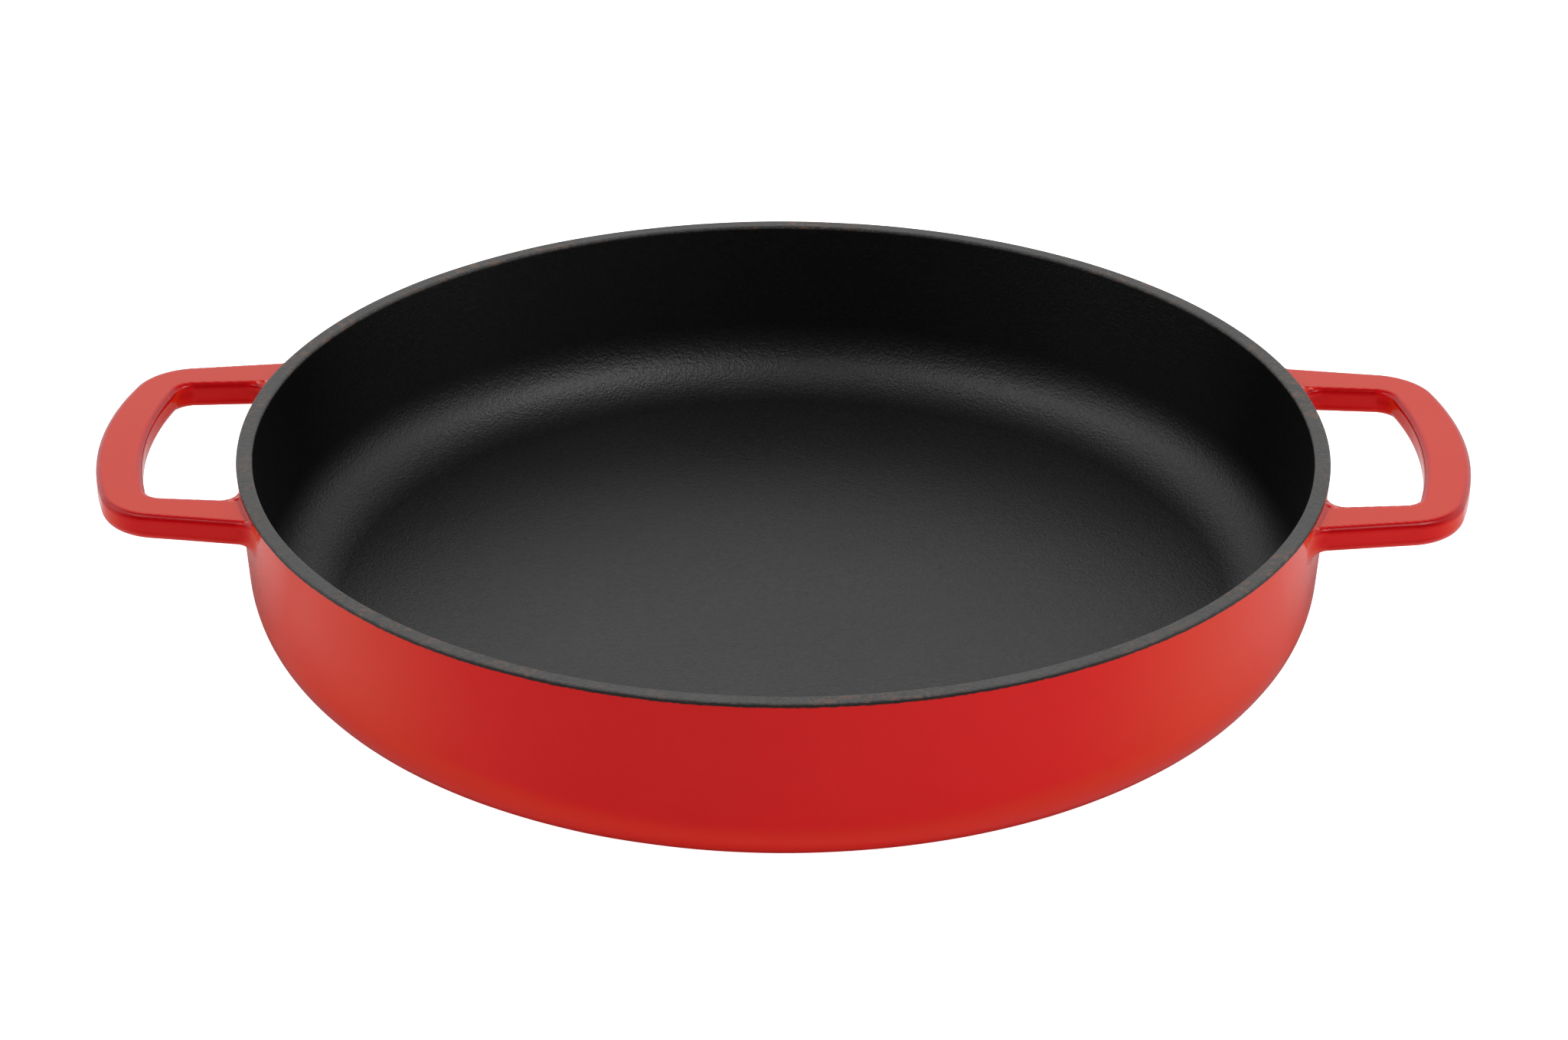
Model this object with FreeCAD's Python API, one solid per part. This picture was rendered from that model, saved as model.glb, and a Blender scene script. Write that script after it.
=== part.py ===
import FreeCAD, Part
import math
import os

# Two-handled shallow cast iron skillet with fused enamel coats, in millimetres.
# Origin at the centre of the foot ring's contact plane, +Z up, the two loop
# handles along +X and -X.
#
# Bowl, foot ring and handles are one casting.  Red enamel covers the outside,
# matte black enamel the inside, and the dark ground coat is bare on the rim.
# The casting and each coat are separate solids that touch face to face.
#
# Every shape is built at a depth below the finished surface: depth 0 is the
# enamelled skillet, depth COAT is the bare casting.

V = FreeCAD.Vector

# ---- bowl (finished surface) ----
COAT = 0.35                # thickness of every fired coat
HEIGHT = 53.0              # foot contact plane to rim top
RIM_R = 144.0              # outer radius at the rim
RIM_W = 4.2                # rim width
RIM_EDGE_R = 0.6           # rounding of both rim edges
OUT_DRAFT = 3.77           # degrees, outside wall leans in towards the base
IN_DRAFT = 4.2             # degrees, inside wall
OUT_CORNER_R = 22.0        # outside wall-to-base curve
IN_CORNER_R = 18.5         # inside wall-to-floor curve
BASE_Z = 1.2               # underside plane, inside and outside the foot ring
FLOOR_Z = 5.8              # cooking surface
FOOT_IN_R, FOOT_OUT_R = 112.2, 117.2   # flat contact band of the foot ring
FOOT_SIDE = 1.4            # radial run of the sloping foot ring sides
FOOT_EDGE_R = 0.5
FOOT_ROOT_R = 0.6

# ---- where the coats stop, below the rim top ----
RED_TOP = HEIGHT - 0.75
BLACK_TOP = HEIGHT - 0.85

# ---- loop handles (finished surface, plan view of the +X handle) ----
HANDLE_TOP = HEIGHT - 1.9
HANDLE_BOTTOM = HANDLE_TOP - 7.5
HANDLE_TOP_R = 1.6         # top edge rounding
HANDLE_BOTTOM_R = 3.1      # bottom edge rounding
HANDLE_START_X = 125.0     # plan outlines start here, well inside the wall
HANDLE_TRIM_R = 142.0      # the handle solid is trimmed to this radius
# Each plan: the corner (x, y, radius), the bow's vertex on the X axis
# (x, radius), and how much the sides narrow per millimetre outwards.
HANDLE_PLAN = dict(corner=(173.0, 43.6, 17.0), bow=(185.8, 112.0), side_slope=0.145)
OPENING_PLAN = dict(corner=(164.0, 33.3, 5.0), bow=(172.25, 120.0), side_slope=0.068)

# ---- concave blends between handle and wall ----
JOIN_R = 1.0               # where the handle top meets the wall
ROOT_R = 4.0               # beside and below each handle root


# ---- outline helpers ----

def inset(corners, depth, fixed):
    """Shrink a counter-clockwise filleted polygon of (x, y, radius) corners.

    Edge i joins corners i and i+1; the edge numbered fixed stays where it is.
    Convex radii shrink and concave radii grow, giving a true parallel curve.
    """
    lines = []
    for i, (x, y, _) in enumerate(corners):
        next_x, next_y, _ = corners[(i + 1) % len(corners)]
        length = math.hypot(next_x - x, next_y - y)
        dir_x, dir_y = (next_x - x) / length, (next_y - y) / length
        shift = 0.0 if i == fixed else depth
        lines.append((x - dir_y * shift, y + dir_x * shift, dir_x, dir_y))

    moved = []
    for i, (_, _, radius) in enumerate(corners):
        # Each new corner is where the lines before and after it cross.
        x1, y1, dir_x1, dir_y1 = lines[i - 1]
        x2, y2, dir_x2, dir_y2 = lines[i]
        turn = dir_x1 * dir_y2 - dir_y1 * dir_x2
        along = ((x2 - x1) * dir_y2 - (y2 - y1) * dir_x2) / turn
        if radius > 0:
            radius += -depth if turn > 0 else depth
        moved.append((x1 + dir_x1 * along, y1 + dir_y1 * along, radius))
    return moved


def corner_arc(before, corner, after):
    """Start, middle and end (x, y) of the tangent arc that rounds a corner."""
    x, y, radius = corner
    if radius <= 0:
        return (x, y), None, (x, y)
    back = V(before[0] - x, before[1] - y, 0).normalize()
    ahead = V(after[0] - x, after[1] - y, 0).normalize()
    half_angle = back.getAngle(ahead) / 2.0
    tangent = radius / math.tan(half_angle)
    to_arc = radius / math.sin(half_angle) - radius
    inward = (back + ahead).normalize()
    return (
        (x + back.x * tangent, y + back.y * tangent),
        (x + inward.x * to_arc, y + inward.y * to_arc),
        (x + ahead.x * tangent, y + ahead.y * tangent),
    )


def filleted_wire(corners, to_3d):
    """Closed wire of straight lines joined by tangent arcs."""
    count = len(corners)
    arcs = [
        corner_arc(corners[i - 1], corners[i], corners[(i + 1) % count])
        for i in range(count)
    ]
    edges = []
    for i, (start, middle, end) in enumerate(arcs):
        if middle is not None:
            edges.append(Part.Arc(to_3d(*start), to_3d(*middle), to_3d(*end)).toShape())
        following = arcs[(i + 1) % count][0]
        if math.hypot(following[0] - end[0], following[1] - end[1]) > 1e-6:
            edges.append(Part.LineSegment(to_3d(*end), to_3d(*following)).toShape())
    return Part.Wire(Part.__sortEdges__(edges))


def turned(face):
    """Solid of revolution about Z from a face in the XZ plane."""
    return face.revolve(V(0, 0, 0), V(0, 0, 1), 360)


# ---- skillet ----

def wall_radius(top_r, z, draft):
    """Radius at height z of a wall that has radius top_r at the rim top."""
    return top_r - (HEIGHT - z) * math.tan(math.radians(draft))


def bowl(depth):
    """Revolved bowl with its foot ring."""
    in_top_r = RIM_R - RIM_W
    profile = [            # (r, z, corner radius)
        (0.0, BASE_Z, 0),
        (FOOT_IN_R - FOOT_SIDE, BASE_Z, FOOT_ROOT_R),
        (FOOT_IN_R, 0.0, FOOT_EDGE_R),
        (FOOT_OUT_R, 0.0, FOOT_EDGE_R),
        (FOOT_OUT_R + FOOT_SIDE, BASE_Z, FOOT_ROOT_R),
        (wall_radius(RIM_R, BASE_Z, OUT_DRAFT), BASE_Z, OUT_CORNER_R),
        (RIM_R, HEIGHT, RIM_EDGE_R),
        (in_top_r, HEIGHT, RIM_EDGE_R),
        (wall_radius(in_top_r, FLOOR_Z, IN_DRAFT), FLOOR_Z, IN_CORNER_R),
        (0.0, FLOOR_Z, 0),
    ]
    axis_edge = len(profile) - 1
    wire = filleted_wire(inset(profile, depth, axis_edge), lambda r, z: V(r, 0, z))
    return turned(Part.Face(wire))


def plan_face(plan, depth, z):
    """Flat face of a handle plan outline at height z."""
    x, y, radius = plan["corner"]
    bow_x, bow_r = plan["bow"]
    start_y = y + (x - HANDLE_START_X) * plan["side_slope"]
    outline = [
        (HANDLE_START_X, -start_y, 0),
        (x, -y, radius),
        (bow_x, 0.0, bow_r),
        (x, y, radius),
        (HANDLE_START_X, start_y, 0),
    ]
    start_edge = len(outline) - 1
    return Part.Face(filleted_wire(inset(outline, depth, start_edge), lambda x, y: V(x, y, z)))


def level_edges(solid, z):
    """Edges lying at height z, except those on the handle's start plane."""
    return [
        edge for edge in solid.Edges
        if edge.BoundBox.ZMin > z - 1e-3
        and edge.BoundBox.ZMax < z + 1e-3
        and edge.BoundBox.XMax > HANDLE_START_X + 0.01
    ]


def handle(depth):
    """+X loop handle, trimmed to end inside the bowl wall."""
    top = HANDLE_TOP - depth
    bottom = HANDLE_BOTTOM + depth
    outer = plan_face(HANDLE_PLAN, depth, bottom)
    opening = plan_face(OPENING_PLAN, -depth, bottom)
    loop = outer.cut(opening).extrude(V(0, 0, top - bottom)).Solids[0]
    loop = loop.makeFillet(HANDLE_TOP_R - depth, level_edges(loop, top))
    loop = loop.makeFillet(HANDLE_BOTTOM_R - depth, level_edges(loop, bottom))
    # The trimming cylinder reaches well past the handle above and below.
    return loop.cut(Part.makeCylinder(HANDLE_TRIM_R, 40, V(0, 0, HEIGHT - 30)))


def point_along(edge, share):
    """Point at a share of the edge's parameter range."""
    return edge.valueAt(edge.FirstParameter + share * (edge.LastParameter - edge.FirstParameter))


def is_root_edge(edge, depth):
    """True where the +X/+Y handle bar meets the outside of the bowl wall."""
    lowest, highest = HANDLE_BOTTOM - 1, HEIGHT - 1.2
    min_y = 20.0
    wall_tolerance = 0.02
    wall_inset = depth / math.cos(math.radians(OUT_DRAFT))
    for share in (0.1, 0.5, 0.9):
        point = point_along(edge, share)
        wall_r = wall_radius(RIM_R, point.z, OUT_DRAFT) - wall_inset
        if (
            abs(math.hypot(point.x, point.y) - wall_r) > wall_tolerance
            or point.y < min_y
            or not lowest < point.z < highest
        ):
            return False
    return True


def blended_quarter(depth):
    """+X/+Y quarter of the skillet with its handle root blended to the wall.

    The blend is small along the top, where the handle lies just under the
    rim, and grows to ROOT_R down the sides and underneath.
    """
    quarter_box = Part.makeBox(200, 200, 80, V(0, 0, -5))
    whole = bowl(depth).fuse(handle(depth)).removeSplitter()
    quarter = whole.common(quarter_box).Solids[0]
    top = HANDLE_TOP - depth
    shoulder = top - (HANDLE_TOP_R - depth)

    def blend_radius(z):
        share = min(1.0, max(0.0, (top - z) / (top - shoulder)))
        return JOIN_R + (ROOT_R - JOIN_R) * share + depth

    # Each entry: edge number, radius at one end, radius at the other.
    blends = []
    for number, edge in enumerate(quarter.Edges, start=1):
        if not is_root_edge(edge, depth):
            continue
        first = edge.valueAt(edge.FirstParameter).z
        last = edge.valueAt(edge.LastParameter).z
        if edge.Orientation != "Reversed":
            first, last = last, first
        blends.append((number, blend_radius(first), blend_radius(last)))

    # A document fillet takes a different radius at each end of an edge.
    doc = FreeCAD.newDocument("blend")
    base = doc.addObject("Part::Feature", "base")
    base.Shape = quarter
    fillet = doc.addObject("Part::Fillet", "fillet")
    fillet.Base = base
    fillet.Edges = blends
    doc.recompute()
    blended = fillet.Shape.copy()
    FreeCAD.closeDocument(doc.Name)
    return blended.Solids[0]


def skillet(depth):
    """Whole skillet, mirrored up from its blended quarter."""
    shape = blended_quarter(depth)
    for normal in (V(0, 1, 0), V(1, 0, 0)):
        shape = shape.fuse(shape.mirror(V(0, 0, 0), normal)).removeSplitter()
    return shape.Solids[0]


# ---- zones that divide the coats ----
MID_RIM_R = RIM_R - RIM_W / 2
MID_BASE_Z = (BASE_Z + FLOOR_Z) / 2
MID_DRAFT = (OUT_DRAFT + IN_DRAFT) / 2
MID_CORNER_R = (OUT_CORNER_R + IN_CORNER_R) / 2


def turned_zone(points):
    """Solid of revolution from a polygon of (r, z) points."""
    corners = [V(r, 0, z) for r, z in points]
    return turned(Part.Face(Part.makePolygon(corners + corners[:1])))


def inside_zone():
    """Everything inboard of the middle of the bowl's thickness, up to the
    line where the black coat stops below the rim."""
    corner_x = wall_radius(MID_RIM_R, MID_BASE_Z, MID_DRAFT)
    centre_r = corner_x - MID_CORNER_R * (1 - math.tan(math.radians(MID_DRAFT / 2)))
    centre_z = MID_BASE_Z + MID_CORNER_R
    curve = []
    for degrees in range(-90, 1, 10):
        angle = math.radians(degrees)
        curve.append((
            centre_r + MID_CORNER_R * math.cos(angle),
            centre_z + MID_CORNER_R * math.sin(angle),
        ))
    return turned_zone(
        [(0.0, MID_BASE_Z)] + curve + [(MID_RIM_R, BLACK_TOP), (0.0, BLACK_TOP)]
    )


def rim_zone():
    """Band round the rim where only the ground coat is present."""
    inner_r, outer_r, top = MID_RIM_R - 10, RIM_R + 5, HEIGHT + 5
    return turned_zone([
        (inner_r, BLACK_TOP), (MID_RIM_R, BLACK_TOP), (MID_RIM_R, RED_TOP),
        (outer_r, RED_TOP), (outer_r, top), (inner_r, top),
    ])


# ---- pieces ----

def exterior_red_enamel(casting, black_zone, bare_zone):
    """Coat over the outside of the bowl and the handles."""
    return skillet(0.0).cut(casting).cut(black_zone.fuse(bare_zone))


def build_pieces():
    casting = skillet(COAT)
    bowl_coat = bowl(0.0).cut(bowl(COAT))   # inside and rim are plain turned shapes
    black_zone, bare_zone = inside_zone(), rim_zone()
    return {
        "iron_casting": casting,
        "interior_black_enamel": bowl_coat.common(black_zone),
        "rim_ground_coat": bowl_coat.common(bare_zone),
        "exterior_red_enamel": exterior_red_enamel(casting, black_zone, bare_zone),
    }


os.makedirs("parts", exist_ok=True)
for name, shape in build_pieces().items():
    if len(shape.Solids) == 1:
        shape = shape.Solids[0]
    shape.exportStep("parts/%s.step" % name)
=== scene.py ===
"""Enamelled cast-iron pan with two loop handles, in a white studio.

The pan stands on z = 0 around the z axis. Its handles point to +X and -X, and the camera
looks from -Y. Shapes are worked out in millimetres, then fitted to the CAD in metres.
"""
import math
from collections import namedtuple
from itertools import product

import bpy
import numpy as np
from mathutils import Matrix, Vector


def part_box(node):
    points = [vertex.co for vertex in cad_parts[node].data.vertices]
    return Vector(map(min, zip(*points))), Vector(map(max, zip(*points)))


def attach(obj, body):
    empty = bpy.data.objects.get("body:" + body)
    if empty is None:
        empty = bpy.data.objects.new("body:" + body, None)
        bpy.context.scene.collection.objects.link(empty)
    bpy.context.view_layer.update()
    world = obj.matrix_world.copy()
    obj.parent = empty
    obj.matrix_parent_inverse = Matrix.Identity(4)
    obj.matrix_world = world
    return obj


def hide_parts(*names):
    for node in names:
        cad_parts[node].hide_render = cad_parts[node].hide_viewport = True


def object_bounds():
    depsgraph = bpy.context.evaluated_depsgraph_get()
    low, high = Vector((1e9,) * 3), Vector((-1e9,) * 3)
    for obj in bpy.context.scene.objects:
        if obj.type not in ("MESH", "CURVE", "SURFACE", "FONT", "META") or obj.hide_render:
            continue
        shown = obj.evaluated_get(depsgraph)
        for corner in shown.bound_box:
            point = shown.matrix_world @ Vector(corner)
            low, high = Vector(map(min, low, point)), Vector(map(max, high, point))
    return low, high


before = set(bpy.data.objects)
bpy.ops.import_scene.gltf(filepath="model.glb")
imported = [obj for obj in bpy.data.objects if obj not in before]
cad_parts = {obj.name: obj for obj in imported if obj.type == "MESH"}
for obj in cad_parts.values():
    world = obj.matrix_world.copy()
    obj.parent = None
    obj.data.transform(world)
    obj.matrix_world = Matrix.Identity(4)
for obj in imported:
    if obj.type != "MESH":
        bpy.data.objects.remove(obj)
cad_low, cad_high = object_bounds()

# ------------------------------------------------------------------ dimensions (mm)
COAT = 0.35                                     # thickness of every coat
HEIGHT = 53.0
RIM_R, RIM_W, RIM_EDGE_R = 144.0, 4.2, 0.6
OUT_DRAFT, IN_DRAFT = math.radians(3.77), math.radians(4.2)
OUT_CORNER_R, IN_CORNER_R = 22.0, 18.5          # where the wall meets base and floor
BASE_Z, FLOOR_Z = 1.2, 5.8
FOOT_IN_R, FOOT_OUT_R, FOOT_SIDE = 112.2, 117.2, 1.4   # foot ring, width of its slopes
FOOT_EDGE_R, FOOT_ROOT_R = 0.5, 0.6
RED_DROP, BLACK_DROP = 0.75, 0.85               # coat borders below the top of the rim
RED_TOP, BLACK_TOP = HEIGHT - RED_DROP, HEIGHT - BLACK_DROP

HANDLE_TOP, HANDLE_THICK = HEIGHT - 1.9, 7.5
HANDLE_BOTTOM = HANDLE_TOP - HANDLE_THICK
HANDLE_TOP_R, HANDLE_BOTTOM_R = 1.6, 3.1        # edge rounding
HANDLE_START_X = 125.0                          # both outlines start inside the wall


def handle_outline(shoulder_x, shoulder_y, slope, shoulder_r, tip_x, tip_r):
    """Corners (x, y, radius) of a loop around +X; its sides narrow outwards by slope."""
    start_y = shoulder_y + (shoulder_x - HANDLE_START_X) * slope
    return [
        (HANDLE_START_X, -start_y, 0.0), (shoulder_x, -shoulder_y, shoulder_r),
        (tip_x, 0.0, tip_r),
        (shoulder_x, shoulder_y, shoulder_r), (HANDLE_START_X, start_y, 0.0),
    ]


OUTLINE = handle_outline(shoulder_x=173.0, shoulder_y=43.6, slope=0.145, shoulder_r=17.0,
                         tip_x=185.8, tip_r=112.0)
HOLE = handle_outline(shoulder_x=164.0, shoulder_y=33.3, slope=0.068, shoulder_r=5.0,
                      tip_x=172.25, tip_r=120.0)

# radii of the blend between wall and handle: on top, at the outer sides, in the hole, below
TOP_BLEND_R, SIDE_BLEND_R, HOLE_BLEND_R, UNDER_BLEND_R = 0.9, 3.6, 6.6, 3.5
# (start, length) over which one blend radius fades into another
HOLE_FADE = (44.0, 6.0)      # mm of |y|, inwards from the start
TOP_FADE = (0.75, 0.25)      # how far up the handle's surface faces
UNDER_FADE = (0.3, 0.6)      # how far down it faces
RIM_FADE = (0.95, 1.7)       # mm below the top of the rim

# ------------------------------------------------------------------ mesh resolution
ROW_STEP, ROWS = 0.70, 22            # rows of the handle band, the first at the red border
WINDOW, WINDOW_CELLS = math.radians(24.5), 140    # half width of the handle window, cells
COLUMN_STEP = math.radians(1.5)      # aimed-at column spacing between the windows
PATCH_R = (138.6, 182.3, 0.72)       # radial grid of the handle patch: start, stop, step

# ------------------------------------------------------------------ outlines
# a line, or an arc when it has a centre; turn is +1 on convex arcs and -1 on hollow ones
Piece = namedtuple("Piece", "start end centre radius turn", defaults=(None, 0.0, 0.0))


def rounded(corners):
    """Lines and tangent arcs of a counter-clockwise polygon of (x, y, corner radius)."""
    stops = []
    for i, (x, y, radius) in enumerate(corners):
        point = np.array([x, y], float)
        if radius <= 0:
            stops.append((point, None, point))
            continue
        back = np.array(corners[i - 1][:2], float) - point
        ahead = np.array(corners[(i + 1) % len(corners)][:2], float) - point
        back, ahead = back / np.linalg.norm(back), ahead / np.linalg.norm(ahead)
        half = math.acos(float(np.clip(back @ ahead, -1, 1))) / 2
        middle = (back + ahead) / np.linalg.norm(back + ahead)
        turn = 1.0 if back[0] * ahead[1] - back[1] * ahead[0] < 0 else -1.0
        first = point + back * radius / math.tan(half)
        last = point + ahead * radius / math.tan(half)
        arc = Piece(first, last, point + middle * radius / math.sin(half), radius, turn)
        stops.append((first, arc, last))
    pieces = []
    for i, (_, arc, last) in enumerate(stops):
        if arc is not None:
            pieces.append(arc)
        pieces.append(Piece(last, stops[(i + 1) % len(stops)][0]))
    return pieces


def direction(piece):
    span = piece.end - piece.start
    return span / np.hypot(*span)


def angle_from(centre, point):
    return math.atan2(point[1] - centre[1], point[0] - centre[0])


def path_distance(path, x, y):
    """Signed distance to a smooth convex closed path, negative inside."""
    nearest = np.full(x.shape, 1e9)
    signed = np.zeros(x.shape)
    for piece in path:
        if piece.centre is None:
            way = direction(piece)
            off_x, off_y = x - piece.start[0], y - piece.start[1]
            length = np.hypot(*(piece.end - piece.start))
            along = np.clip(off_x * way[0] + off_y * way[1], 0, length)
            dist = np.hypot(off_x - along * way[0], off_y - along * way[1])
            side = np.where(off_x * way[1] - off_y * way[0] >= 0, dist, -dist)
        else:
            off_x, off_y = x - piece.centre[0], y - piece.centre[1]
            side = np.hypot(off_x, off_y) - piece.radius
            start = angle_from(piece.centre, piece.start)
            span = (angle_from(piece.centre, piece.end) - start) % (2 * math.pi)
            swept = (np.arctan2(off_y, off_x) - start) % (2 * math.pi)
            dist = np.where(swept <= span, np.abs(side), 1e9)
        closer = dist < nearest
        nearest = np.where(closer, dist, nearest)
        signed = np.where(closer, side, signed)
    return signed


# ------------------------------------------------------------------ distance fields
OUTLINE_PATH, HOLE_PATH = rounded(OUTLINE), rounded(HOLE)


def handle_distance(points):
    """Signed distance to the +X handle, and how far up its surface faces there."""
    x, y, z = points[..., 0], points[..., 1], points[..., 2]
    plan = np.maximum(path_distance(OUTLINE_PATH, x, y), -path_distance(HOLE_PATH, x, y))
    flat_side = HANDLE_THICK - HANDLE_TOP_R - HANDLE_BOTTOM_R
    upper = z > HANDLE_BOTTOM + HANDLE_BOTTOM_R + flat_side / 2
    radius = np.where(upper, HANDLE_TOP_R, HANDLE_BOTTOM_R)
    across = plan + radius
    upright = np.where(upper, z - HANDLE_TOP, HANDLE_BOTTOM - z) + radius
    past_across, past_upright = np.maximum(across, 0), np.maximum(upright, 0)
    reach = np.hypot(past_across, past_upright)
    dist = np.minimum(np.maximum(across, upright), 0) + reach - radius
    facing = np.where(reach > 1e-6, past_upright / np.maximum(reach, 1e-6),
                      np.where(upright > across, 1.0, 0.0))
    return dist, np.where(upper, facing, -facing)


def wall_distance(points):
    wall_r = RIM_R - (HEIGHT - points[..., 2]) * math.tan(OUT_DRAFT)
    return (np.hypot(points[..., 0], points[..., 1]) - wall_r) * math.cos(OUT_DRAFT)


def fade(before, after, progress):
    """Eases from one value to the other as progress goes from 0 to 1."""
    t = np.clip(progress, 0, 1)
    return before + (after - before) * (t * t * (3 - 2 * t))


def outside_distance(points):
    """Bowl wall and +X handle with a cast blend between them."""
    wall = wall_distance(points)
    handle, up = handle_distance(points)
    y, z = np.abs(points[..., 1]), points[..., 2]
    full = fade(SIDE_BLEND_R, HOLE_BLEND_R, (HOLE_FADE[0] - y) / HOLE_FADE[1])
    full = fade(full, TOP_BLEND_R, (up - TOP_FADE[0]) / TOP_FADE[1])
    full = fade(full, UNDER_BLEND_R, (-up - UNDER_FADE[0]) / UNDER_FADE[1])
    blend = fade(TOP_BLEND_R, full, (HEIGHT - RIM_FADE[0] - z) / RIM_FADE[1])
    into_wall, into_handle = np.maximum(blend - wall, 0), np.maximum(blend - handle, 0)
    return np.maximum(blend, np.minimum(wall, handle)) - np.hypot(into_wall, into_handle)


def outside_gradient(points, step=0.01):
    gradient = np.zeros_like(points)
    for k in range(3):
        shift = np.zeros(3)
        shift[k] = step
        rise = outside_distance(points + shift) - outside_distance(points - shift)
        gradient[..., k] = rise / (2 * step)
    return gradient


def unit(vectors):
    return vectors / np.linalg.norm(vectors, axis=-1, keepdims=True)


def project(points, steps=4):
    """Moves points onto the outside surface; also returns the normals there."""
    for _ in range(steps):
        dist, slope = outside_distance(points), outside_gradient(points)
        squared = np.maximum((slope * slope).sum(-1), 1e-6)
        points = points - slope * (dist / squared)[..., None]
    return points, unit(outside_gradient(points))


# ------------------------------------------------------------------ profile rows
# Half section in (radius, height), from the middle of the base round to the middle
# of the floor. A row is (radius, height, and the two parts of the outward normal).
BASE_R = RIM_R - (HEIGHT - BASE_Z) * math.tan(OUT_DRAFT)
RIM_IN_R = RIM_R - RIM_W
FLOOR_R = RIM_IN_R - (HEIGHT - FLOOR_Z) * math.tan(IN_DRAFT)

(BASE, FOOT_ROOT_IN, FOOT_SLOPE_IN, FOOT_EDGE_IN, FOOT_FACE, FOOT_EDGE_OUT, FOOT_SLOPE_OUT,
 FOOT_ROOT_OUT, BASE_RING, BASE_CORNER, WALL, RIM_EDGE_OUT, RIM_FACE, RIM_EDGE_IN,
 INSIDE_WALL, FLOOR_CORNER, FLOOR, _) = rounded([
     (0.0, BASE_Z, 0),
     (FOOT_IN_R - FOOT_SIDE, BASE_Z, FOOT_ROOT_R),
     (FOOT_IN_R, 0.0, FOOT_EDGE_R),
     (FOOT_OUT_R, 0.0, FOOT_EDGE_R),
     (FOOT_OUT_R + FOOT_SIDE, BASE_Z, FOOT_ROOT_R),
     (BASE_R, BASE_Z, OUT_CORNER_R),
     (RIM_R, HEIGHT, RIM_EDGE_R),
     (RIM_IN_R, HEIGHT, RIM_EDGE_R),
     (FLOOR_R, FLOOR_Z, IN_CORNER_R),
     (0.0, FLOOR_Z, 0),
 ])

# pieces below the wall from the outside in, with their row steps
UNDERSIDE = (
    (BASE_CORNER, 28), (BASE_RING, 1), (FOOT_ROOT_OUT, 3), (FOOT_SLOPE_OUT, 1),
    (FOOT_EDGE_OUT, 3), (FOOT_FACE, 3), (FOOT_EDGE_IN, 3), (FOOT_SLOPE_IN, 1),
    (FOOT_ROOT_IN, 3), (BASE, 8),
)


def sample(piece, steps):
    """Rows at steps + 1 even places along one piece."""
    if piece.centre is None:
        start, end, way = piece.start, piece.end, direction(piece)
        return [(start[0] + (end[0] - start[0]) * i / steps,
                 start[1] + (end[1] - start[1]) * i / steps, way[1], -way[0])
                for i in range(steps + 1)]
    centre, radius, turn = piece.centre, piece.radius, piece.turn
    first = angle_from(centre, piece.start)
    sweep = angle_from(centre, piece.end) - first
    sweep = (sweep + math.pi) % (2 * math.pi) - math.pi
    rows = []
    for i in range(steps + 1):
        angle = first + sweep * i / steps
        cos, sin = math.cos(angle), math.sin(angle)
        rows.append((centre[0] + radius * cos, centre[1] + radius * sin,
                     turn * cos, turn * sin))
    return rows


def line_at(line, z):
    """Row of a wall line at height z."""
    way = direction(line)
    return (line.start[0] + (z - line.start[1]) * way[0] / way[1], z, way[1], -way[0])


def wall_rows(line, top, bottom, steps):
    return [line_at(line, top + (bottom - top) * i / steps) for i in range(steps + 1)]


def chain(parts):
    """Joins lists of rows and drops repeated places."""
    rows = []
    for row in (row for part in parts for row in part):
        if not rows or math.hypot(rows[-1][0] - row[0], rows[-1][1] - row[1]) >= 1e-6:
            rows.append(row)
    return rows


def outside_rows():
    """From the red border down and in to the last ring before the middle of the base."""
    band = [line_at(WALL, RED_TOP - k * ROW_STEP) for k in range(ROWS)]
    below = wall_rows(WALL, band[-1][1], float(WALL.start[1]), 6)
    return chain([band, below] + [sample(piece, steps)[::-1] for piece, steps in UNDERSIDE])[:-1]


def rim_rows():
    """From the red border over the rim to the black border."""
    return chain([[line_at(WALL, RED_TOP)], sample(RIM_EDGE_OUT, 6), sample(RIM_FACE, 5),
                  sample(RIM_EDGE_IN, 6), [line_at(INSIDE_WALL, BLACK_TOP)]])


def inside_rows():
    """From the black border down and in to the last ring before the middle of the floor."""
    wall = wall_rows(INSIDE_WALL, BLACK_TOP, float(INSIDE_WALL.end[1]), 9)
    return chain([wall, sample(FLOOR_CORNER, 26), sample(FLOOR, 26)])[:-1]


# ------------------------------------------------------------------ meshing
Surface = namedtuple("Surface", "verts normals quads tris")


def columns():
    """Grid angles over a window, angles of all columns, columns in the +X and -X windows."""
    edges = np.linspace(-WINDOW, WINDOW, WINDOW_CELLS + 1)
    middle = (edges[1:] + edges[:-1]) / 2
    gap = math.pi - (middle[-1] - middle[0])
    steps = int(round(gap / COLUMN_STEP))
    between = middle[-1] + np.arange(1, steps) * (gap / steps)
    theta = np.concatenate([middle, between, middle + math.pi, between + math.pi])
    window = np.arange(WINDOW_CELLS)
    return edges, theta, (window, window + WINDOW_CELLS + steps - 1)


EDGES, THETA, WINDOWS = columns()
COLS = len(THETA)
FIRST_ROW = np.arange(COLS)


def from_polar(theta, radius, z):
    return np.stack([radius * np.cos(theta), radius * np.sin(theta), z], -1)


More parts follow.
